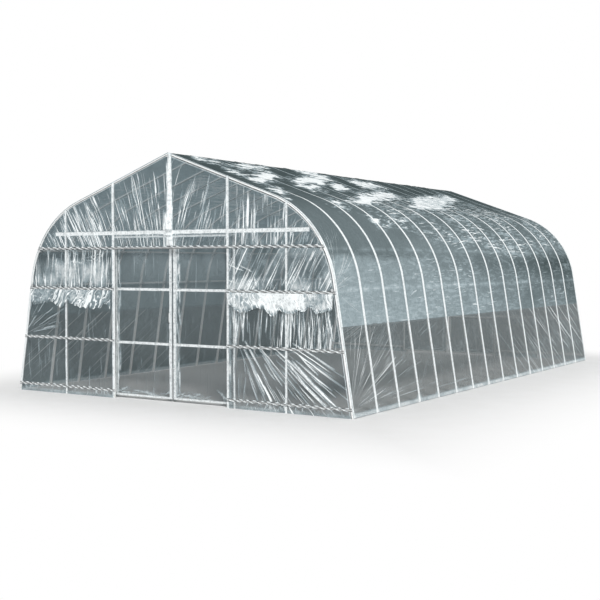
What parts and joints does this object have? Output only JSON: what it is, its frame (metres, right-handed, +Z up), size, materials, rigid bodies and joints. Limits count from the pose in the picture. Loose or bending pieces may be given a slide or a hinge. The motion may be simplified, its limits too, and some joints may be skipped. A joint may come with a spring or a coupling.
{
  "type": "polytunnel greenhouse",
  "caption": "Walk-in polytunnel greenhouse of bent steel pipe arches under clear film, with a pair of hanging sliding doors in each gable.",
  "frame": {"origin": "middle of the plan, on the ground under the feet", "axes": "+Z up, +Y along the ridge from the front doors to the rear doors, +X to the right as seen from the front"},
  "size_m": [4.5046, 7.2428, 2.6549],
  "materials": {
    "pipe": "galvanised, slightly dulled",
    "film": "clear film, wrinkled and hazed by use",
    "channel": "galvanised strip",
    "hardware": "zinc plated"
  },
  "bodies": {
    "house": {"arch_01": "pipe", "arch_02": "pipe", "arch_03": "pipe", "arch_04": "pipe", "arch_05": "pipe", "arch_06": "pipe", "arch_07": "pipe", "arch_08": "pipe", "arch_09": "pipe", "arch_10": "pipe", "arch_11": "pipe", "arch_12": "pipe", "arch_13": "pipe", "arch_14": "pipe", "arch_15": "pipe", "arch_16": "pipe", "ridge_purlin": "pipe", "left_purlins": "pipe", "right_purlins": "pipe", "roof_film": "film", "left_side_film": "film", "right_side_film": "film", "front_posts": "pipe", "front_film_channels": "channel", "front_gable_film": "film", "front_door_rail": "channel", "front_rail_brackets": "hardware", "rear_posts": "pipe", "rear_film_channels": "channel", "rear_gable_film": "film", "rear_door_rail": "channel", "rear_rail_brackets": "hardware"},
    "front_left_door": {"front_left_door_frame": "pipe", "front_left_door_film": "film", "front_left_door_hangers": "hardware"},
    "front_right_door": {"front_right_door_frame": "pipe", "front_right_door_film": "film", "front_right_door_hangers": "hardware"},
    "rear_left_door": {"rear_left_door_frame": "pipe", "rear_left_door_film": "film", "rear_left_door_hangers": "hardware"},
    "rear_right_door": {"rear_right_door_frame": "pipe", "rear_right_door_film": "film", "rear_right_door_hangers": "hardware"}
  },
  "joints": [
    {"name": "front_left_door_slide", "type": "slide", "parent": "house", "child": "front_left_door", "axis": [-1, 0, 0], "range_m": [0, 0.76]},
    {"name": "front_right_door_slide", "type": "slide", "parent": "house", "child": "front_right_door", "axis": [1, 0, 0], "range_m": [0, 0.76]},
    {"name": "rear_left_door_slide", "type": "slide", "parent": "house", "child": "rear_left_door", "axis": [1, 0, 0], "range_m": [0, 0.76]},
    {"name": "rear_right_door_slide", "type": "slide", "parent": "house", "child": "rear_right_door", "axis": [-1, 0, 0], "range_m": [0, 0.76]}
  ]
}
